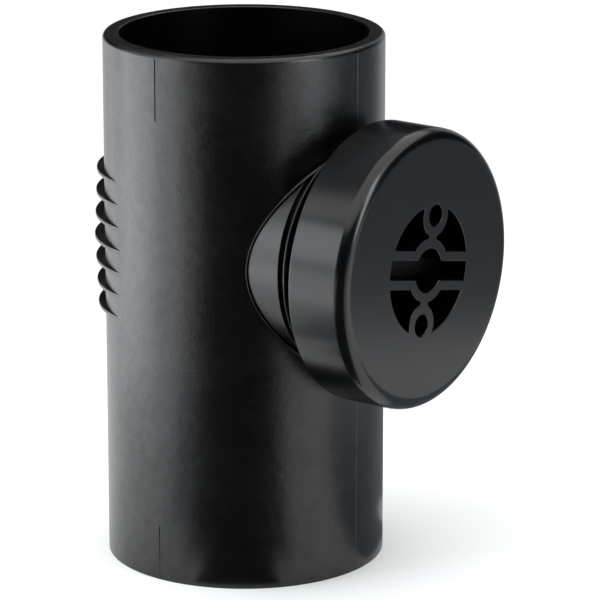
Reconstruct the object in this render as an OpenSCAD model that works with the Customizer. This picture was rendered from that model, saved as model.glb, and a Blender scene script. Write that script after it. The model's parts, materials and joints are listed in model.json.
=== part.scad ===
// Cleanout pipe: a straight drainage pipe with a short side branch that a round screw cap closes.
// The pipe's axis is Z and its lower end lies on Z = 0. The branch points along +X.

/* [Pipe] */
// Outer diameter of the pipe
pipe_d = 110; // [90:1:125]
// Height from the lower to the upper end
pipe_h = 210; // [195:1:320]
// Thickness of the pipe's wall
pipe_wall = 6.3; // [4:0.1:8]
// Rounding of the outer edge of the upper end
rim_round = 2; // [0.5:0.1:3]

/* [Branch] */
// Height of the branch's axis above the lower end
branch_z = 128; // [90:1:145]
// Bore of the branch, the service opening
branch_bore = 75; // [62:0.5:84]
// Thickness of the branch's wall at its plain neck
neck_wall = 5.5; // [4.5:0.1:6.5]
// How far the neck's front shoulder lies behind the pipe's front line
shoulder_back = 5.6; // [3:0.1:9]
// Depth of the relief groove between the neck and the thread
relief_depth = 2.2; // [1:0.1:2.4]
// How far the thin collar ring stands out past the neck
collar_proud = 1.8; // [0.5:0.1:2]
// Thickness of the thin collar ring
collar_t = 1.1; // [0.8:0.1:2]
// How far the middle of the collar ring lies behind the pipe's front line
collar_back = 1.6; // [0:0.1:2.5]

/* [Thread] */
// Thickness of the branch's wall under the thread
thread_wall = 5.9; // [4:0.1:7]
// Depth of the thread
thread_depth = 3; // [2:0.1:3.4]
// Distance from the pipe's front line to the start of the threaded length
thread_start = 2.5; // [1:0.1:6]
// Chamfer at the mouth of the branch and at the mouth of the cap
mouth_chamfer = 1; // [0.5:0.1:2]
// Radial clearance between the thread's crests and the cap's wall
thread_clear = 0.5; // [0.2:0.05:1]

/* [Stiffening fins] */
// Number of fins on the back of the pipe
fin_count = 7; // [3:2:9]
// Distance from one fin to the next
fin_pitch = 9.05; // [7:0.05:10]
// Thickness of a fin
fin_t = 1.7; // [1.2:0.1:3]
// How far the middle fin stands out of the pipe at its highest point
fin_rise = 6.1; // [4:0.1:8]
// How much less each next fin stands out, counted from the middle
fin_step = 0.5; // [0:0.1:0.6]
// How much smaller the radius of a fin's outline is than the pipe's
fin_arc_less = 2.8; // [2:0.1:6]
// Rounding of a fin's two outer edges
fin_round = 0.5; // [0.2:0.1:0.6]

/* [Cap] */
// Thickness of the cap's skirt
cap_wall = 7.6; // [5.8:0.1:11]
// Depth of the cap from its back edge to its face
cap_depth = 26; // [23:0.5:32]
// Gap between the pipe's front line and the cap's back edge
cap_gap = 7.8; // [5:0.1:12]
// Rounding of the cap's front edge
cap_round = 5; // [2:0.5:6]
// Rounding of the cap's back edge
cap_back_round = 0.8; // [0.3:0.1:1.5]
// Thickness of the cap's front plate
cap_plate = 4.5; // [3:0.1:6]
// Turn of the tightened cap, seen from the front
cap_turn = -12.2; // [-90:0.1:90]

/* [Tool recess] */
// Diameter of the round recess in the cap's face
recess_d = 50; // [48:0.5:54]
// Depth of the recess
recess_depth = 11; // [6:0.5:14]
// Thickness of the cup around and under the recess
cup_wall = 3; // [2:0.1:4]
// Width of the slot between the two bars
slot_w = 7.3; // [5:0.1:9]
// Thickness of the bars and of the rings around the holes
web_t = 4; // [2.5:0.1:4.5]
// Diameter of the hole in the middle
middle_hole_d = 17; // [15:0.5:18]
// Diameter of the two small holes
pin_hole_d = 8.4; // [6:0.1:9]
// Distance of the small holes from the middle
pin_hole_at = 21.2; // [20.5:0.1:22.5]
// Width of the necks that join the rings
neck_web_w = 5.2; // [3:0.1:7]

/* [Seal] */
// Thickness of the seal ring
seal_t = 3.4; // [2:0.1:5]
// How far the seal ring stays back from the bore's edge
seal_inset = 1; // [0.5:0.1:2]
// Clearance between the seal ring and the cap's wall
seal_side_clear = 0.5; // [0.2:0.1:1]
// Gap between the seal ring and each face beside it
seal_face_gap = 0.1; // [0.05:0.05:0.2]
// Chamfer of the seal ring's edges
seal_chamfer = 0.5; // [0.2:0.1:0.8]

/* [Hidden] */
$fn = 128;
past = 1; // how far a cutting shape runs past the surface that it cuts

pipe_r = pipe_d / 2;
bore_r = pipe_r - pipe_wall;

// radii around the branch's axis
branch_bore_r = branch_bore / 2;
neck_r = branch_bore_r + neck_wall;
relief_r = neck_r - relief_depth;
collar_r = neck_r + collar_proud;
thread_root_r = branch_bore_r + thread_wall;
cap_bore_r = thread_root_r + thread_depth + thread_clear;
cap_r = cap_bore_r + cap_wall;

// distances from the pipe's axis along the branch
shoulder_at = pipe_r - shoulder_back;
collar_at = pipe_r - collar_back;
thread_at = pipe_r + thread_start;
cap_back_at = pipe_r + cap_gap;
cap_face_at = cap_back_at + cap_depth;
plate_at = cap_face_at - cap_plate;
seal_at = plate_at - seal_face_gap - seal_t;
branch_end_at = seal_at - seal_face_gap;
recess_at = cap_face_at - recess_depth;

recess_r = recess_d / 2;
cup_r = recess_r + cup_wall;
pin_ring_r = pin_hole_d / 2 + web_t;
middle_ring_r = middle_hole_d / 2 + web_t;
bar_offset = slot_w / 2 + web_t;

// Puts a shape that is drawn around Z onto the branch: its Z runs out of the branch, its Y points up
module on_branch() {
  translate([0, 0, branch_z])
    rotate([90, 0, 90])
      children();
}

// Rectangle of a section, from one radius to another and from one height to another
module band(r_in, r_out, z_low, z_high) {
  translate([r_in, z_low])
    square([r_out - r_in, z_high - z_low]);
}

// Solid column with a rounded upper edge
module column_section(r, h, round_r) {
  band(0, r, 0, h - round_r);
  band(0, r - round_r, 0, h);
  translate([r - round_r, h - round_r])
    circle(round_r);
}

// One fin: a thin disc that is set back behind the pipe, so that a crescent of it shows
module fin(rise) {
  fin_r = pipe_r - fin_arc_less;
  translate([fin_r - pipe_r - rise, 0, -fin_t / 2])
    rotate_extrude() {
      band(0, fin_r - fin_round, 0, fin_t);
      band(0, fin_r, fin_round, fin_t - fin_round);
      for (z = [fin_round, fin_t - fin_round])
        translate([fin_r - fin_round, z])
          circle(fin_round, $fn = 32);
    }
}

// The row of fins, centred on the branch's axis, with the middle one standing out most
module fins() {
  middle = (fin_count - 1) / 2;
  for (i = [0 : fin_count - 1])
    translate([0, 0, branch_z + (i - middle) * fin_pitch])
      fin(fin_rise - fin_step * abs(i - middle));
}

// The branch before it is bored: neck, relief groove, thin collar ring and threaded end
module branch_post() {
  rotate_extrude() {
    band(0, neck_r, 0, shoulder_at);
    band(0, relief_r, 0, thread_at);
    band(0, collar_r - collar_t / 2, collar_at - collar_t / 2, collar_at + collar_t / 2);
    translate([collar_r - collar_t / 2, collar_at])
      circle(collar_t / 2, $fn = 32);
    polygon([
      [0, thread_at - (thread_root_r - relief_r)],
      [relief_r, thread_at - (thread_root_r - relief_r)],
      [thread_root_r, thread_at],
      [thread_root_r, branch_end_at - mouth_chamfer],
      [thread_root_r - mouth_chamfer, branch_end_at],
      [0, branch_end_at]
    ]);
  }
}

module pipe_body() {
  color([0.06, 0.06, 0.065])
    difference() {
      union() {
        // turned so that the seam of its round wall lies behind, among the fins
        rotate([0, 0, 180])
          rotate_extrude()
            column_section(pipe_r, pipe_h, rim_round);
        fins();
        on_branch()
          branch_post();
      }
      translate([0, 0, -past])
        cylinder(r = bore_r, h = pipe_h + 2 * past);
      on_branch()
        cylinder(r = branch_bore_r, h = branch_end_at + past);
    }
}

// Section of the cap: skirt with a rounded front edge, plate, and the cup that holds the recess
module cap_section() {
  difference() {
    union() {
      translate([0, cap_back_at + cap_back_round])
        column_section(cap_r, cap_depth - cap_back_round, cap_round);
      band(0, cap_r - cap_back_round, cap_back_at, cap_face_at - cap_round);
      translate([cap_r - cap_back_round, cap_back_at + cap_back_round])
        circle(cap_back_round, $fn = 32);
    }
    difference() {
      band(0, cap_bore_r, cap_back_at - past, plate_at);
      band(0, cup_r, recess_at - cup_wall, plate_at + past);
    }
    polygon([
      [cap_bore_r - past, cap_back_at - past],
      [cap_bore_r + mouth_chamfer + past, cap_back_at - past],
      [cap_bore_r - past, cap_back_at + mouth_chamfer + past]
    ]);
  }
}

// Outline of all the webs in the recess: two bars, three rings and the necks between the rings
module web_outline() {
  for (side = [-1, 1]) {
    translate([-recess_r - past, side > 0 ? slot_w / 2 : -bar_offset])
      square([2 * (recess_r + past), web_t]);
    translate([0, side * pin_hole_at])
      circle(pin_ring_r);
    translate([-neck_web_w / 2, side > 0 ? 0 : -pin_hole_at])
      square([neck_web_w, pin_hole_at]);
  }
  circle(middle_ring_r);
}

// Outline of everything that is sunk below the cap's face
module recess_outline() {
  difference() {
    circle(recess_r);
    web_outline();
  }
  intersection() {
    circle(recess_r);
    translate([-recess_r - past, -slot_w / 2])
      square([2 * (recess_r + past), slot_w]);
  }
  circle(middle_hole_d / 2);
  for (side = [-1, 1])
    translate([0, side * pin_hole_at])
      circle(pin_hole_d / 2);
}

module screw_cap() {
  color([0.09, 0.09, 0.1])
    on_branch()
      rotate([0, 0, cap_turn])
        difference() {
          rotate_extrude()
            cap_section();
          translate([0, 0, recess_at])
            linear_extrude(height = recess_depth + past)
              recess_outline();
        }
}

module seal_ring() {
  inner = branch_bore_r + seal_inset;
  outer = cap_bore_r - seal_side_clear;
  color([0.02, 0.02, 0.02])
    on_branch()
      translate([0, 0, seal_at])
        rotate_extrude()
          polygon([
            [inner + seal_chamfer, 0],
            [outer - seal_chamfer, 0],
            [outer, seal_chamfer],
            [outer, seal_t - seal_chamfer],
            [outer - seal_chamfer, seal_t],
            [inner + seal_chamfer, seal_t],
            [inner, seal_t - seal_chamfer],
            [inner, seal_chamfer]
          ]);
}

pipe_body();
screw_cap();
seal_ring();
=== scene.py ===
import json
from math import atan2, cos, hypot, pi, radians, sin, sqrt, tan

import bmesh
import bpy
from mathutils import Matrix, Vector


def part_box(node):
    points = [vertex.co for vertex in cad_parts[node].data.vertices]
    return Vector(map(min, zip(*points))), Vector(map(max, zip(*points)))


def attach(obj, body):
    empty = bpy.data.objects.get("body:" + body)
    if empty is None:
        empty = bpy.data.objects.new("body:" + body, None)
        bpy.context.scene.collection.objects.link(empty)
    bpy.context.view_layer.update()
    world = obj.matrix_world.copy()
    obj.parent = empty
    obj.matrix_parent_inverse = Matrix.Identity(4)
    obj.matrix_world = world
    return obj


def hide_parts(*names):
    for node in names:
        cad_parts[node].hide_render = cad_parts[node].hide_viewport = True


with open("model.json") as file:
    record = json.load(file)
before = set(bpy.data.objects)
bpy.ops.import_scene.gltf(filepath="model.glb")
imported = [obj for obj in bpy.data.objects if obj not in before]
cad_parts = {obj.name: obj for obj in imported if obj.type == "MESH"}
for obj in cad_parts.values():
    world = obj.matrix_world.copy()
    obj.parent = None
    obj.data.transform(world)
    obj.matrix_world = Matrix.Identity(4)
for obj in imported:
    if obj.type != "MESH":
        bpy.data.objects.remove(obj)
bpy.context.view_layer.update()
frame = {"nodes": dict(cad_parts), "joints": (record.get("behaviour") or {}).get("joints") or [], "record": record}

# The cleanout pipe: an upright drainage pipe with a short side branch and its big round screw cap.
# The pipe's axis is Z, the branch points along +X. Lengths are in millimetres until a piece is finished.

MM = 0.001


def node_box(node):
    """Lowest and highest corner of a node, in millimetres."""
    low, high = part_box(node)
    return low / MM, high / MM


def mount(name):
    """One stated mount of the part."""
    return next(m for m in frame["record"]["mounts"] if m["name"] == name)


def joint(name):
    """One stated joint of the part."""
    return next(j for j in frame["joints"] if j["name"] == name)


# Places and sizes that the frame gives
body_high = node_box("pipe_body")[1]
cap_low, cap_high = node_box("screw_cap")
PIPE_R = body_high.y
PIPE_H = body_high.z
BORE_R = mount("pipe_bore")["dims"]["r_mm"]
BRANCH_Z = joint("cap_turn")["pos_m"][2] / MM
BRANCH_END = body_high.x
CAP_BACK = cap_low.x
CAP_FACE = cap_high.x
SEAL_AT = node_box("seal_ring")[0].x
PIN_HOLE_R = mount("pin_hole_upper")["dims"]["r_mm"]
RECESS_DEPTH = mount("pin_hole_upper")["dims"]["length_mm"]
PIN_HOLE_Y = mount("pin_hole_upper")["pos_m"][1] / MM
PIN_HOLE_Z = mount("pin_hole_upper")["pos_m"][2] / MM - BRANCH_Z
PIN_HOLE_AT = hypot(PIN_HOLE_Y, PIN_HOLE_Z)
CAP_TURN = -atan2(PIN_HOLE_Y, PIN_HOLE_Z)

# Pipe, with its fine parting line and the stronger marks at the ends of its sides
RIM_ROUND = 2.0
EDGE_BREAK = 0.3
FLASH_W = 0.5
FLASH_RISE = 0.12
MARK_W = 0.7
MARK_RISE = 0.22
UPPER_MARK = 26.0
LOWER_MARK = 22.0
LINE_CLEAR = 3.0

# Branch, from its root in the pipe to its end
BRANCH_BORE_R = 37.5
NECK_R = 43.0
SHOULDER_AT = PIPE_R - 5.6
RELIEF_R = 40.8
COLLAR_R = 44.8
COLLAR_AT = PIPE_R - 1.6
COLLAR_T = 1.1
COLLAR_ROUND = 0.45 * COLLAR_T
THREAD_AT = PIPE_R + 2.5
MOUTH_CHAMFER = 1.0
ROOT_FILLET = 1.8
FILLET_SINK = 0.02
FILLET_BACK = 1.3

# Thread of the branch and of the cap
THREAD_ROOT_R = 43.4
THREAD_DEPTH = 3.0
THREAD_PITCH = 5.0
THREAD_CLEAR = 0.5
THREAD_ROOT_W = 2.9
THREAD_CREST_W = 1.3
THREAD_ROUND = 0.3
THREAD_SINK = 1.5 * THREAD_ROUND
CAP_THREAD_TURNS = 7
CAP_THREAD_LEAD = 1.5 * MOUTH_CHAMFER

# Fins: discs set back behind the pipe, lower by a step from the middle one to the outer ones
FIN_COUNT = 7
FIN_PITCH = 9.05
FIN_T = 1.7
FIN_RISE = 6.1
FIN_STEP = 0.5
FIN_R = PIPE_R - 2.8
FIN_ROUND = 0.5

# Cap
CAP_R = 54.5
CAP_BORE_R = THREAD_ROOT_R + THREAD_DEPTH + THREAD_CLEAR
CAP_ROUND = 5.0
CAP_BACK_ROUND = 0.8
PLATE_T = 4.5
PLATE_AT = CAP_FACE - PLATE_T
RECESS_R = 25.0
RECESS_AT = CAP_FACE - RECESS_DEPTH
CUP_WALL = 3.0
CUP_R = RECESS_R + CUP_WALL
CUP_AT = RECESS_AT - CUP_WALL
SLOT_W = 7.3
WEB_T = 4.0
MIDDLE_HOLE_R = 8.5
NECK_WEB_W = 5.2
EASE = 0.35

# How far a cutter reaches past what it cuts
PAST = 1.0

# Points nearer than this are one point, in a drawn shape and after a cut
SAME_POINT = 0.0005
SAME_POINT_AFTER_CUT = 0.002

# Steps around the pipe, the branch and cap, the thread's ends and the recess, a ring web, and a pin hole
PIPE_STEPS = 288
BRANCH_STEPS = 256
RECESS_STEPS = 192
WEB_STEPS = 96
PIN_HOLE_STEPS = 64

# Steps in one turn of the thread, and the radius above which a rounding has 8 segments and not 4
HELIX_STEPS = 96
BIG_ROUNDING = 1.5

# Edges flatter than this angle are shaded smooth
SMOOTH_ANGLE = radians(24)

# A face is flat across the branch when its normal has this much of X, and on the neck when it is this near
IN_FACE = 0.9999
NEAR_NECK = 0.05

# A shape that is drawn around Z is put onto the branch: its Z runs out of the branch, its Y points up
ON_BRANCH = Matrix(((0, 0, 1, 0), (1, 0, 0, 0), (0, 1, 0, BRANCH_Z), (0, 0, 0, 1)))
ON_CAP = ON_BRANCH @ Matrix.Rotation(CAP_TURN, 4, "Z")


# Shapes

def section(bm, corners, closed):
    """Draws an outline of (radius, height, rounding) corners and rounds those that have a rounding."""
    verts = [bm.verts.new((r, 0, h)) for r, h, _ in corners]
    ends = list(zip(verts, verts[1:])) + ([(verts[-1], verts[0])] if closed else [])
    for a, b in ends:
        bm.edges.new((a, b))
    for vert, (_, _, rounding) in zip(verts, corners):
        if rounding:
            round_corner(bm, vert, rounding)


def round_corner(bm, vert, radius):
    """Rounds one corner of an outline with an arc of the given radius."""
    sides = [edge.other_vert(vert).co - vert.co for edge in vert.link_edges]
    bend = pi - sides[0].angle(sides[1])
    segments = 8 if radius > BIG_ROUNDING else 4
    bmesh.ops.bevel(bm, geom=[vert], offset=radius * tan(bend / 2), offset_type="OFFSET",
                    segments=segments, profile=0.5, affect="VERTICES", clamp_overlap=False, material=-1)


def turned(corners, steps, closed=False):
    """Solid of revolution around Z. An open outline starts and ends on the axis."""
    bm = bmesh.new()
    section(bm, corners, closed)
    bmesh.ops.spin(bm, geom=bm.verts[:] + bm.edges[:], cent=(0, 0, 0), axis=(0, 0, 1),
                   angle=2 * pi, steps=steps, use_merge=True)
    bmesh.ops.remove_doubles(bm, verts=bm.verts[:], dist=SAME_POINT)
    bmesh.ops.recalc_face_normals(bm, faces=bm.faces[:])
    return bm


def only_verts(geom):
    """The vertices in what an operator gives back."""
    return [part for part in geom if isinstance(part, bmesh.types.BMVert)]


def strip(corners, length):
    """Straight solid along Y, centred, with an outline of corners in X and Z."""
    bm = bmesh.new()
    section(bm, corners, closed=True)
    bmesh.ops.remove_doubles(bm, verts=bm.verts[:], dist=SAME_POINT)
    bmesh.ops.translate(bm, vec=(0, -length / 2, 0), verts=bm.verts[:])
    end = bmesh.ops.contextual_create(bm, geom=bm.edges[:])["faces"]
    moved = bmesh.ops.extrude_face_region(bm, geom=end, use_keep_orig=True)["geom"]
    bmesh.ops.translate(bm, vec=(0, length, 0), verts=only_verts(moved))
    bmesh.ops.recalc_face_normals(bm, faces=bm.faces[:])
    return bm


def drum(r, low, high, steps):
    """Plain round solid from one height to another."""
    bm = bmesh.new()
    bmesh.ops.create_cone(bm, cap_ends=True, segments=steps, radius1=r, radius2=r, depth=high - low,
                          matrix=Matrix.Translation((0, 0, (low + high) / 2)))
    return bm


def placed(bm, matrix):
    """Moves a shape to its place."""
    bm.transform(matrix)
    return bm


def as_object(bm, name):
    """Makes an object at the origin out of a shape."""
    mesh = bpy.data.meshes.new(name)
    bm.to_mesh(mesh)
    bm.free()
    item = bpy.data.objects.new(name, mesh)
    bpy.context.scene.collection.objects.link(item)
    return item


def cut_and_joined(base, steps, name):
    """Applies (operation, tool) steps in their order to a base shape and gives the result as a bmesh."""
    item = as_object(base, name)
    tools = [as_object(tool, name + "_tool") for _, tool in steps]
    for (operation, _), tool in zip(steps, tools):
        modifier = item.modifiers.new(operation, "BOOLEAN")
        modifier.operation = operation
        modifier.solver = "MANIFOLD"
        modifier.object = tool
    evaluated = item.evaluated_get(bpy.context.evaluated_depsgraph_get())
    bm = bmesh.new()
    bm.from_mesh(evaluated.to_mesh())
    evaluated.to_mesh_clear()
    for used in [item, *tools]:
        bpy.data.objects.remove(used)
    bmesh.ops.remove_doubles(bm, verts=bm.verts[:], dist=SAME_POINT_AFTER_CUT)
    return bm


def shade(bm):
    """Shades round stretches smoothly and keeps every sharper edge."""
    for face in bm.faces:
        face.smooth = True
    for edge in bm.edges:
        edge.smooth = edge.is_manifold and edge.calc_face_angle() < SMOOTH_ANGLE


def finished(bm, name, body, materials):
    """Makes a mesh in metres out of a shape and lets it ride on a body."""
    bm.transform(Matrix.Scale(MM, 4))
    item = as_object(bm, name)
    for material in materials:
        item.data.materials.append(material)
    weighted = item.modifiers.new("flat_faces_stay_flat", "WEIGHTED_NORMAL")
    weighted.keep_sharp = True
    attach(item, body)
    return item


# Thread

def helix(root_r, crest_r, start, end):
    """Right-hand thread ridge around Z, on a root surface outside or inside of its crest."""
    outward = 1 if crest_r > root_r else -1
    sink = root_r - outward * THREAD_ROUND
    bm = bmesh.new()
    section(bm, [
        (sink, -THREAD_ROOT_W / 2, 0),
        (crest_r, -THREAD_CREST_W / 2, THREAD_ROUND),
        (crest_r, THREAD_CREST_W / 2, THREAD_ROUND),
        (sink, THREAD_ROOT_W / 2, 0),
    ], closed=True)
    bmesh.ops.translate(bm, vec=(0, 0, start), verts=bm.verts[:])
    steps = round((end - start) / THREAD_PITCH * HELIX_STEPS)
    bmesh.ops.spin(bm, geom=bm.verts[:] + bm.edges[:], cent=(0, 0, 0), axis=(0, 0, 1),
                   dvec=(0, 0, THREAD_PITCH / HELIX_STEPS), angle=2 * pi * steps / HELIX_STEPS, steps=steps)
    bmesh.ops.holes_fill(bm, edges=[e for e in bm.edges if e.is_boundary], sides=0)
    bmesh.ops.recalc_face_normals(bm, faces=bm.faces[:])
    return bm


def branch_thread():
    """Outside thread of the branch, run out at both ends."""
    crest = THREAD_ROOT_R + THREAD_DEPTH
    inside = THREAD_ROOT_R - THREAD_SINK
    envelope = turned([
        (inside, THREAD_AT, 0),
        (THREAD_ROOT_R, THREAD_AT, 0),
        (crest, THREAD_AT + THREAD_DEPTH, 0),
        (crest, BRANCH_END - MOUTH_CHAMFER - THREAD_DEPTH, 0),
        (THREAD_ROOT_R, BRANCH_END - MOUTH_CHAMFER, 0),
        (inside, BRANCH_END - MOUTH_CHAMFER, 0),
    ], RECESS_STEPS, closed=True)
    ridge = helix(THREAD_ROOT_R, crest, THREAD_AT - THREAD_PITCH, BRANCH_END + THREAD_PITCH)
    return placed(cut_and_joined(ridge, [("INTERSECT", envelope)], "branch_thread"), ON_BRANCH)


def cap_thread():
    """Inside thread of the cap. It lies half a pitch on, in the grooves of the outside thread."""
    crest = CAP_BORE_R - THREAD_DEPTH
    outside = CAP_BORE_R + THREAD_SINK
    low, high = CAP_BACK + CAP_THREAD_LEAD, SEAL_AT - MOUTH_CHAMFER
    envelope = turned([
        (outside, low, 0),
        (CAP_BORE_R, low, 0),
        (crest, low + THREAD_DEPTH, 0),
        (crest, high - THREAD_DEPTH, 0),
        (CAP_BORE_R, high, 0),
        (outside, high, 0),
    ], RECESS_STEPS, closed=True)
    first = THREAD_AT - THREAD_PITCH / 2
    ridge = helix(CAP_BORE_R, crest, first, first + CAP_THREAD_TURNS * THREAD_PITCH)
    return placed(cut_and_joined(ridge, [("INTERSECT", envelope)], "cap_thread"), ON_BRANCH)


# Pipe body

def branch_post():
    """The branch before it is bored: neck, relief groove, thin collar ring and threaded end."""
    return placed(turned([
        (0, 0, 0),
        (NECK_R, 0, 0),
        (NECK_R, SHOULDER_AT, EDGE_BREAK),
        (RELIEF_R, SHOULDER_AT, 0),
        (RELIEF_R, COLLAR_AT - COLLAR_T / 2, 0),
        (COLLAR_R, COLLAR_AT - COLLAR_T / 2, COLLAR_ROUND),
        (COLLAR_R, COLLAR_AT + COLLAR_T / 2, COLLAR_ROUND),
        (RELIEF_R, COLLAR_AT + COLLAR_T / 2, 0),
        (RELIEF_R, THREAD_AT - (THREAD_ROOT_R - RELIEF_R), 0),
        (THREAD_ROOT_R, THREAD_AT, 0),
        (THREAD_ROOT_R, BRANCH_END - MOUTH_CHAMFER, 0),
        (THREAD_ROOT_R - MOUTH_CHAMFER, BRANCH_END, 0),
        (0, BRANCH_END, 0),
    ], BRANCH_STEPS), ON_BRANCH)


def fillet_point(angle, share):
    """Point of the neck's root fillet. The share runs from 0 on the pipe to 1 on the neck. None is inside."""
    pipe_r, neck_r = PIPE_R - FILLET_SINK, NECK_R - FILLET_SINK
    y, z = (neck_r + ROOT_FILLET) * cos(angle), (neck_r + ROOT_FILLET) * sin(angle)
    ball = Vector((sqrt((pipe_r + ROOT_FILLET) ** 2 - y * y), y, z))
    to_pipe = -Vector((ball.x, y, 0)) * ROOT_FILLET / (pipe_r + ROOT_FILLET)
    to_neck = -Vector((0, y, z)) * ROOT_FILLET / (neck_r + ROOT_FILLET)
    step = (to_pipe + to_neck) * FILLET_BACK if share is None else to_pipe.slerp(to_neck, share)
    return ball + step + Vector((0, 0, BRANCH_Z))


def root_fillet():
    """Fillet all round the root of the neck, as a ball that rolls along the pipe and the neck leaves it."""
    bm = bmesh.new()
    rings = []
    for share in (0, 0.2, 0.4, 0.6, 0.8, 1, None):
        ring = bmesh.ops.create_circle(bm, cap_ends=False, segments=BRANCH_STEPS, radius=1)["verts"]
        for vert in ring:
            vert.co = fillet_point(atan2(vert.co.y, vert.co.x), share)
        rings.append(list({edge for vert in ring for edge in vert.link_edges}))
    for ring, after in zip(rings, rings[1:] + rings[:1]):
        bmesh.ops.bridge_loops(bm, edges=ring + after)
    bmesh.ops.recalc_face_normals(bm, faces=bm.faces[:])
    return bm


def fin(rise, at):
    """One fin: a thin disc set back behind the pipe, so that a crescent of it shows."""
    disc = turned([
        (0, -FIN_T / 2, 0),
        (FIN_R, -FIN_T / 2, FIN_ROUND),
        (FIN_R, FIN_T / 2, FIN_ROUND),
        (0, FIN_T / 2, 0),
    ], BRANCH_STEPS)
    return placed(disc, Matrix.Translation((FIN_R - PIPE_R - rise, 0, at)))


def ridge_line(angle, low, high, width, rise):
    """Fine raised line up the pipe's outside, as the joint of two mould halves leaves it."""
    bm = bmesh.new()
    foot = PIPE_R - rise
    corners = ((foot, -width), (PIPE_R + rise, 0), (foot, width))
    face = bm.faces.new([bm.verts.new((x, y, low)) for x, y in corners])
    up = bmesh.ops.extrude_face_region(bm, geom=[face])["geom"]
    bmesh.ops.translate(bm, vec=(0, 0, high - low), verts=only_verts(up))
    bmesh.ops.recalc_face_normals(bm, faces=bm.faces[:])
    return placed(bm, Matrix.Rotation(angle, 4, "Z"))


def mould_lines():
    """Parting line in front and behind, and short marks at both ends of the two sides."""
    top = PIPE_H - RIM_ROUND
    behind = (FIN_COUNT // 2) * FIN_PITCH + FIN_T
    lines = []
    for angle, half in ((0, NECK_R + LINE_CLEAR), (pi, behind + LINE_CLEAR)):
        lines.append(ridge_line(angle, EDGE_BREAK, BRANCH_Z - half, FLASH_W, FLASH_RISE))
        lines.append(ridge_line(angle, BRANCH_Z + half, top, FLASH_W, FLASH_RISE))
    for angle in (pi / 2, -pi / 2):
        lines.append(ridge_line(angle, EDGE_BREAK, LOWER_MARK, MARK_W, MARK_RISE))
        lines.append(ridge_line(angle, PIPE_H - UPPER_MARK, top, MARK_W, MARK_RISE))
    return lines


def is_neck(face):
    """Whether a face is on the plain neck of the branch."""
    middle = face.calc_center_median()
    r = hypot(middle.y, middle.z - BRANCH_Z)
    return 0 < middle.x < SHOULDER_AT and abs(r - NECK_R) < NEAR_NECK


def is_inside(face):
    """Whether a face is on the wall of the pipe's bore or the branch's bore."""
    middle = face.calc_center_median()
    off_pipe_axis = hypot(middle.x, middle.y)
    off_branch_axis = hypot(middle.y, middle.z - BRANCH_Z)
    in_pipe = off_pipe_axis < BORE_R + EDGE_BREAK / 2 and EDGE_BREAK < middle.z < PIPE_H - EDGE_BREAK
    in_branch = off_branch_axis < BRANCH_BORE_R + EDGE_BREAK / 2 and middle.x > 0
    return in_pipe or in_branch


def pipe_shell(materials):
    """The pipe with its branch, fins and thread, moulded in one piece."""
    column = turned([
        (0, 0, 0),
        (PIPE_R, 0, EDGE_BREAK),
        (PIPE_R, PIPE_H, RIM_ROUND),
        (0, PIPE_H, 0),
    ], PIPE_STEPS)
    bore = turned([
        (0, -PAST, 0),
        (BORE_R + PAST + EDGE_BREAK, -PAST, 0),
        (BORE_R, EDGE_BREAK, 0),
        (BORE_R, PIPE_H - EDGE_BREAK, 0),
        (BORE_R + PAST + EDGE_BREAK, PIPE_H + PAST, 0),
        (0, PIPE_H + PAST, 0),
    ], PIPE_STEPS)
    branch_bore = placed(drum(BRANCH_BORE_R, 0, BRANCH_END + PAST, BRANCH_STEPS), ON_BRANCH)
    added = [branch_post(), root_fillet(), branch_thread(), *mould_lines()]
    for i in range(FIN_COUNT):
        from_middle = i - (FIN_COUNT - 1) / 2
        added.append(fin(FIN_RISE - FIN_STEP * abs(from_middle), BRANCH_Z + from_middle * FIN_PITCH))
    steps = [("UNION", shape) for shape in added]
    steps += [("DIFFERENCE", bore), ("DIFFERENCE", branch_bore)]
    bm = cut_and_joined(column, steps, "pipe_shell")
    # Faces in the bores get the darker, far less glossy copy of the plastic, which paints shade into them
    for face in bm.faces:
        if is_inside(face):
            face.material_index = 2
        elif is_neck(face):
            face.material_index = 1
    shade(bm)
    return finished(bm, "pipe_shell", "pipe", materials)


# Cap

def cap_blank():
    """The cap without its tool recess: skirt with a rounded front edge, plate and cup."""
    return turned([
        (0, CUP_AT, 0),
        (CUP_R, CUP_AT, EDGE_BREAK),
        (CUP_R, PLATE_AT, EDGE_BREAK),
        (CAP_BORE_R, PLATE_AT, EDGE_BREAK),
        (CAP_BORE_R, CAP_BACK + MOUTH_CHAMFER, 0),
        (CAP_BORE_R + MOUTH_CHAMFER, CAP_BACK, 0),
        (CAP_R, CAP_BACK, CAP_BACK_ROUND),
        (CAP_R, CAP_FACE, CAP_ROUND),
        (CAP_R - CAP_ROUND - EDGE_BREAK, CAP_FACE, 0),
        (RECESS_R + PAST, CAP_FACE, 0),
        (0, CAP_FACE, 0),
    ], BRANCH_STEPS)


def mouth(r):
    """Outline corners of a round hole from the recess floor out of the cap's face, with an eased mouth."""
    return [
        (0, RECESS_AT, 0),
        (r, RECESS_AT, 0),
        (r, CAP_FACE, EASE),
        (r + EASE, CAP_FACE, 0),
        (r + EASE, CAP_FACE + PAST, 0),
        (0, CAP_FACE + PAST, 0),
    ]


def island(r):
    """Outline corners of a round web that stands in the recess, with an eased top edge."""
    under, over = RECESS_AT - PAST, CAP_FACE + 2 * PAST
    return [
        (0, under, 0),
        (r, under, 0),
        (r, CAP_FACE, EASE),
        (r - EASE, CAP_FACE, 0),
        (r - EASE, over, 0),
        (0, over, 0),
    ]


def straight(left, right, under, over, easing):
    """Straight solid along Y between two values of X. Its sides step by the easing at the cap's face."""
    return strip([
        (left, under, 0),
        (right, under, 0),
        (right, CAP_FACE, EASE),
        (right + easing, CAP_FACE, 0),
        (right + easing, over, 0),
        (left - easing, over, 0),
        (left - easing, CAP_FACE, 0),
        (left, CAP_FACE, EASE),
    ], 2 * (RECESS_R + PAST))


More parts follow.
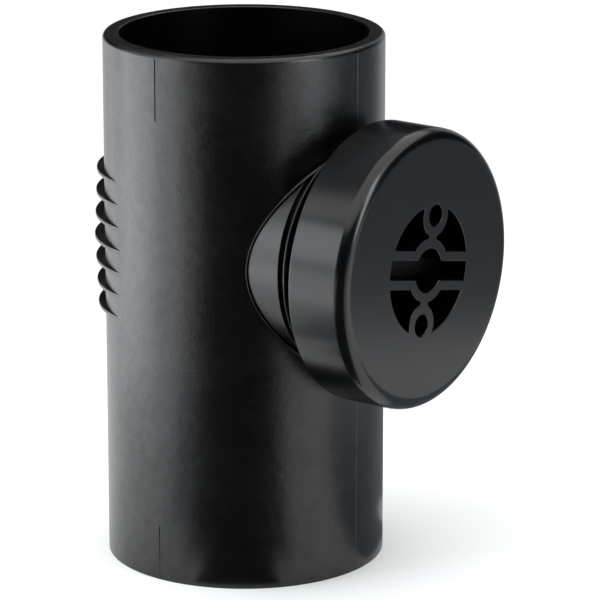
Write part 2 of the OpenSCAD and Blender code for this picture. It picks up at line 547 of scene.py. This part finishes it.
def wall(left, right):
    """Straight web along Y in the recess, with eased top edges."""
    return straight(left, right, RECESS_AT - PAST, CAP_FACE + 2 * PAST, -EASE)


def recess_tools():
    """What is cut out of the cap's face: four pockets, the slot, the middle hole and two small holes."""
    half = SLOT_W / 2
    across = Matrix.Rotation(pi / 2, 4, "Z")
    webs = [turned(island(MIDDLE_HOLE_R + WEB_T), WEB_STEPS), wall(-NECK_WEB_W / 2, NECK_WEB_W / 2)]
    holes = [turned(mouth(MIDDLE_HOLE_R), WEB_STEPS)]
    for side in (-1, 1):
        at = Matrix.Translation((0, side * PIN_HOLE_AT, 0))
        webs.append(placed(wall(*sorted((side * half, side * (half + WEB_T)))), across))
        webs.append(placed(turned(island(PIN_HOLE_R + WEB_T), WEB_STEPS), at))
        holes.append(placed(turned(mouth(PIN_HOLE_R), PIN_HOLE_STEPS), at))
    slot = placed(straight(-half, half, RECESS_AT, CAP_FACE + PAST, EASE), across)
    slot = cut_and_joined(slot, [("INTERSECT", turned(mouth(RECESS_R), RECESS_STEPS))], "slot")
    recess = turned(mouth(RECESS_R), RECESS_STEPS)
    pockets = cut_and_joined(recess, [("DIFFERENCE", web) for web in webs], "pockets")
    return [pockets, slot, *holes]


def is_in_recess(face):
    """Whether a face is on the walls or the floor of the tool recess."""
    middle = face.calc_center_median()
    in_depth = RECESS_AT - EASE < middle.x < CAP_FACE - EASE
    return in_depth and hypot(middle.y, middle.z - BRANCH_Z) < RECESS_R + EASE


def cap_shell(materials):
    """The screw cap with its tool recess and its inside thread."""
    steps = [("DIFFERENCE", tool) for tool in recess_tools()]
    bm = cut_and_joined(cap_blank(), steps, "cap_shell")
    bm.transform(ON_CAP)
    bm = cut_and_joined(bm, [("UNION", cap_thread())], "cap_shell")
    shade(bm)
    # Faces in the tool recess get the darker, far less glossy copy of the plastic, which paints shade into them
    for face in bm.faces:
        if is_in_recess(face):
            face.material_index = 1
    for edge in bm.edges:
        sides = [abs(face.normal.x) > IN_FACE for face in edge.link_faces]
        near_recess = all(hypot(v.co.y, v.co.z - BRANCH_Z) < RECESS_R + PAST / 2 for v in edge.verts)
        if near_recess and any(sides) and not all(sides):
            edge.smooth = False
    return finished(bm, "cap_shell", "cap", materials)


# Materials

# Scale of the wide clouds beside the blotches, and the parts of a noise's range that are stretched
CLOUD_SCALE = 0.2
WIDE = (0.25, 0.75)
NARROW = (0.35, 0.65)


def node_group(name, inputs, outputs):
    """New shader node group with its sockets, and the nodes that stand for them inside it."""
    tree = bpy.data.node_groups.new(name, "ShaderNodeTree")
    for label, kind, value in inputs:
        socket = tree.interface.new_socket(name=label, in_out="INPUT", socket_type=kind)
        if value is not None:
            socket.default_value = value
    for label in outputs:
        tree.interface.new_socket(name=label, in_out="OUTPUT", socket_type="NodeSocketFloat")
    return tree, tree.nodes.new("NodeGroupInput"), tree.nodes.new("NodeGroupOutput")


def noise(tree, place, scale, detail, roughness, distortion=0.0):
    """Noise over a place. The scale, in lumps a metre, is a number or an output."""
    texture = tree.nodes.new("ShaderNodeTexNoise")
    texture.inputs["Detail"].default_value = detail
    texture.inputs["Roughness"].default_value = roughness
    texture.inputs["Distortion"].default_value = distortion
    tree.links.new(place, texture.inputs["Vector"])
    if isinstance(scale, float):
        texture.inputs["Scale"].default_value = scale
    else:
        tree.links.new(scale, texture.inputs["Scale"])
    return texture.outputs["Fac"]


def calc(tree, operation, first, second):
    """One step of arithmetic between outputs or numbers."""
    step = tree.nodes.new("ShaderNodeMath")
    step.operation = operation
    for socket, value in zip(step.inputs, (first, second)):
        if isinstance(value, float):
            socket.default_value = value
        else:
            tree.links.new(value, socket)
    return step.outputs[0]


def blend(tree, first, second, share):
    """Sum of two outputs, of which the first has the given share."""
    return calc(tree, "ADD", calc(tree, "MULTIPLY", first, share), calc(tree, "MULTIPLY", second, 1 - share))


def spread(tree, value, low, high, to_low=0.0, to_high=1.0):
    """Stretches the part of a value between low and high over a new range."""
    step = tree.nodes.new("ShaderNodeMapRange")
    tree.links.new(value, step.inputs["Value"])
    step.inputs["From Min"].default_value = low
    step.inputs["From Max"].default_value = high
    for label, limit in (("To Min", to_low), ("To Max", to_high)):
        if isinstance(limit, float):
            step.inputs[label].default_value = limit
        else:
            tree.links.new(limit, step.inputs[label])
    return step.outputs["Result"]


def moulded_skin():
    """Skin of moulded plastic: soft blotches of gloss and height with a fine grain over them."""
    tree, given, result = node_group("moulded_skin", [
        ("Place", "NodeSocketVector", None),
        ("Blotches", "NodeSocketFloat", 250.0),
        ("Grain", "NodeSocketFloat", 1400.0),
        ("Smoothest", "NodeSocketFloat", 0.3),
        ("Roughest", "NodeSocketFloat", 0.4),
        ("Patchiness", "NodeSocketFloat", 0.0),
    ], ["Roughness", "Height", "Tone", "Sheen"])
    place = given.outputs["Place"]
    blotches = noise(tree, place, given.outputs["Blotches"], 3.0, 0.55, 0.4)
    clouds = noise(tree, place, calc(tree, "MULTIPLY", given.outputs["Blotches"], CLOUD_SCALE), 2.0, 0.5)
    grain = noise(tree, place, given.outputs["Grain"], 2.0, 0.5)
    gloss = blend(tree, blotches, clouds, 0.6)
    rough = spread(tree, gloss, *WIDE, given.outputs["Smoothest"], given.outputs["Roughest"])
    height = blend(tree, blotches, grain, 0.8)
    tree.links.new(rough, result.inputs["Roughness"])
    tree.links.new(height, result.inputs["Height"])
    tree.links.new(spread(tree, clouds, *NARROW), result.inputs["Tone"])
    tree.links.new(spread(tree, gloss, *NARROW, 0.0, given.outputs["Patchiness"]), result.inputs["Sheen"])
    return tree


SKIN = moulded_skin()


def plastic(name, dark, light, blotches, grain, smoothest, roughest, depth,
            patchiness=0.0, stretch=(1, 1, 1), specular=0.5):
    """Material with the moulded skin.

    Blotches and grain are in lumps a metre, and the skin's depth is in metres. The pattern is drawn out
    along an axis where the stretch is below 1. The patchiness is the most of a clear coat that it gets.
    """
    material = bpy.data.materials.new(name)
    material.use_nodes = True
    tree = material.node_tree
    shader = tree.nodes["Principled BSDF"]
    place = tree.nodes.new("ShaderNodeTexCoord").outputs["Object"]
    mapping = tree.nodes.new("ShaderNodeMapping")
    mapping.inputs["Scale"].default_value = stretch
    tree.links.new(place, mapping.inputs["Vector"])
    skin = tree.nodes.new("ShaderNodeGroup")
    skin.node_tree = SKIN
    tree.links.new(mapping.outputs["Vector"], skin.inputs["Place"])
    for label, value in (("Blotches", blotches), ("Grain", grain), ("Smoothest", smoothest),
                         ("Roughest", roughest), ("Patchiness", patchiness)):
        skin.inputs[label].default_value = value
    shader.inputs["Coat Roughness"].default_value = roughest
    shader.inputs["Specular IOR Level"].default_value = specular
    colour = tree.nodes.new("ShaderNodeMix")
    colour.data_type = "RGBA"
    colour.inputs["A"].default_value = (*dark, 1)
    colour.inputs["B"].default_value = (*light, 1)
    tree.links.new(skin.outputs["Tone"], colour.inputs["Factor"])
    bump = tree.nodes.new("ShaderNodeBump")
    bump.inputs["Distance"].default_value = depth
    tree.links.new(skin.outputs["Height"], bump.inputs["Height"])
    tree.links.new(colour.outputs["Result"], shader.inputs["Base Color"])
    tree.links.new(skin.outputs["Roughness"], shader.inputs["Roughness"])
    tree.links.new(skin.outputs["Sheen"], shader.inputs["Coat Weight"])
    tree.links.new(bump.outputs["Normal"], shader.inputs["Normal"])
    return material


def plain(name, colour, roughness):
    """Even material for the studio."""
    material = bpy.data.materials.new(name)
    material.use_nodes = True
    shader = material.node_tree.nodes["Principled BSDF"]
    shader.inputs["Base Color"].default_value = (*colour, 1)
    shader.inputs["Roughness"].default_value = roughness
    return material


# On the pipe's outside, in its bores and the cap's recess (painted shade: the same plastic made darker and far
# less glossy), on the branch's neck, on the cap, and the seal
moulded_black = plastic("moulded_black", (0.0006, 0.0007, 0.0008), (0.0012, 0.0014, 0.0016),
                        230.0, 1500.0, 0.27, 0.35, 0.00015, patchiness=0.25)
# Painted shade: the pipe's plastic made darker and far less glossy, for the faces in the bores and the cap's
# recess
hollow_painted_shade = plastic("hollow_painted_shade", (0.0005, 0.0005, 0.0006), (0.001, 0.001, 0.0011),
                       500.0, 2400.0, 0.3, 0.4, 0.00004, specular=0.12)
drawn_black = plastic("drawn_black", (0.0015, 0.0016, 0.0018), (0.003, 0.0032, 0.0035),
                      1300.0, 2600.0, 0.24, 0.34, 0.00003, patchiness=0.1, stretch=(0.06, 1, 1),
                      specular=0.62)
satin_black = plastic("satin_black", (0.001, 0.0014, 0.0018), (0.0016, 0.0022, 0.0028),
                      90.0, 2400.0, 0.21, 0.24, 0.00002, patchiness=0.03)
seal_rubber = plastic("seal_rubber", (0.008, 0.008, 0.008), (0.014, 0.014, 0.0135),
                      500.0, 3000.0, 0.6, 0.75, 0.00005)
studio_floor = plain("studio_floor", (0.97, 0.97, 0.97), 0.9)
black_card = plain("black_card", (0.01, 0.01, 0.01), 0.9)
grey_card = plain("grey_card", (0.23, 0.25, 0.28), 0.9)

shell = pipe_shell([moulded_black, drawn_black, hollow_painted_shade])
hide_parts("pipe_body")
cap = cap_shell([satin_black, hollow_painted_shade])
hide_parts("screw_cap")
seal = frame["nodes"]["seal_ring"]
seal.data.materials.clear()
seal.data.materials.append(seal_rubber)


# Studio, in metres. Turns are in degrees, counted from the camera to the camera's right

VIEW_AZIMUTH = radians(-52.82)
VIEW_ELEVATION = radians(15.61)
VIEW_DISTANCE = 1.5
VIEW_TARGET = Vector((0.0173, 0.0132, 0.1014))
VIEW_LENS = 227.3
SENSOR = 36.0
LAMP_COLOUR = (0.95, 1.0, 1.04)
CEILING_LEVEL = 3.4
CEILING_ANGLE = radians(110)
SURROUND = (0.01, 0.01, 0.01, 1)
FLOOR_R = 60.0
CARD_END = 59.0
CARD_LIFT = 0.0004
CARD_STEPS = 64
DOME_R = 3.0
DOME_STEPS = 32
DOME_RISE_STEPS = 12


def direction(azimuth, elevation):
    """Unit vector that points away from the part."""
    return Vector((cos(azimuth) * cos(elevation), sin(azimuth) * cos(elevation), sin(elevation)))


def linked(name, data):
    """Object for a lamp or the camera."""
    item = bpy.data.objects.new(name, data)
    bpy.context.scene.collection.objects.link(item)
    return item


def camera():
    """Camera at the photo's angle."""
    data = bpy.data.cameras.new("camera")
    data.sensor_width = SENSOR
    data.lens = VIEW_LENS
    data.clip_end = 2 * FLOOR_R
    item = linked("camera", data)
    away = direction(VIEW_AZIMUTH, VIEW_ELEVATION)
    item.location = VIEW_TARGET + away * VIEW_DISTANCE
    item.rotation_euler = away.to_track_quat("Z", "Y").to_euler()
    bpy.context.scene.camera = item


def floor():
    """Plain pale floor."""
    bm = bmesh.new()
    bmesh.ops.create_circle(bm, cap_ends=True, segments=96, radius=FLOOR_R)
    item = as_object(bm, "floor")
    item.data.materials.append(studio_floor)


def swept_card(bm, name, start, end, steps, material):
    """Card swept from a line, from one turn to another. It shows in reflections only."""
    bmesh.ops.rotate(bm, verts=bm.verts[:], cent=(0, 0, 0),
                     matrix=Matrix.Rotation(VIEW_AZIMUTH + radians(start), 3, "Z"))
    bmesh.ops.spin(bm, geom=bm.verts[:] + bm.edges[:], cent=(0, 0, 0), axis=(0, 0, 1),
                   angle=radians(end - start), steps=steps)
    item = as_object(bm, name)
    item.data.materials.append(material)
    item.visible_camera = False
    item.visible_diffuse = False
    item.visible_shadow = False


def card(name, start, end, inner, outer, material):
    """Part of a flat ring just above the floor, which darkens what the part mirrors of it."""
    bm = bmesh.new()
    bm.edges.new([bm.verts.new((r, 0, CARD_LIFT)) for r in (inner, outer)])
    swept_card(bm, name, start, end, CARD_STEPS, material)


def dome_card(name, start, end, low, high, material):
    """Part of a dome around the part, between two elevations in degrees."""
    bm = bmesh.new()
    bm.verts.new((DOME_R * cos(radians(low)), 0, DOME_R * sin(radians(low))))
    bmesh.ops.spin(bm, geom=bm.verts[:], cent=(0, 0, 0), axis=(0, -1, 0),
                   angle=radians(high - low), steps=DOME_RISE_STEPS)
    swept_card(bm, name, start, end, DOME_STEPS, material)


def softbox(name, turn, distance, low, high, width, brightness):
    """Upright area lamp that faces the pipe, from one height to another."""
    away = direction(VIEW_AZIMUTH + radians(turn), 0)
    light = bpy.data.lights.new(name, "AREA")
    light.shape = "RECTANGLE"
    light.size, light.size_y = width, high - low
    light.energy = brightness * pi * width * (high - low)
    light.color = LAMP_COLOUR
    lamp = linked(name, light)
    lamp.location = away * distance + Vector((0, 0, (low + high) / 2))
    lamp.rotation_euler = away.to_track_quat("Z", "Y").to_euler()
    lamp.visible_camera = False


def ceiling_light():
    """Wide soft light from above, which gives the floor its level."""
    light = bpy.data.lights.new("ceiling_light", "SUN")
    light.energy = CEILING_LEVEL
    light.angle = CEILING_ANGLE
    linked("ceiling_light", light)


camera()
floor()

# Name, first and last turn, inner and outer radius
card("front_card", -36, 28, 0.085, CARD_END, black_card)
card("foot_card", -22, 16, 0.058, 0.085, black_card)
card("left_card", -53, -36, 0.12, 0.3, grey_card)
card("right_card", 66, 110, 0.42, CARD_END, grey_card)
card("right_near_card", 66, 110, 0.058, 0.28, grey_card)
card("back_card", 110, 180, 0.09, CARD_END, grey_card)
card("bore_card", -180, 180, 0.001, 0.048, black_card)

# Name, first and last turn, lower and upper elevation
dome_card("back_dome_card", -180, -93, 30, 66, grey_card)

ceiling_light()

# Name, turn, distance, lower and upper edge, width, brightness
softbox("left_softbox", -90, 0.35, 0.0, 0.20, 0.25, 3.4)
softbox("left_high_softbox", -90, 0.35, 0.20, 0.44, 0.25, 1.2)
softbox("front_low_softbox", -58, 0.35, 0.0, 0.18, 0.11, 1.7)
softbox("front_high_softbox", -60, 0.35, 0.18, 0.36, 0.14, 3.4)
softbox("left_back_softbox", -122, 0.35, 0.0, 0.20, 0.14, 1.0)
softbox("right_softbox", 63, 0.40, 0.0, 0.16, 0.20, 1.0)
softbox("right_high_softbox", 50, 0.40, 0.18, 0.50, 0.10, 6.0)
softbox("back_softbox", 150, 0.60, 0.0, 0.50, 0.30, 0.55)

world = bpy.data.worlds.new("studio")
world.use_nodes = True
world.node_tree.nodes["Background"].inputs["Color"].default_value = SURROUND
bpy.context.scene.world = world
bpy.context.scene.view_settings.view_transform = "Standard"

bpy.context.view_layer.update()
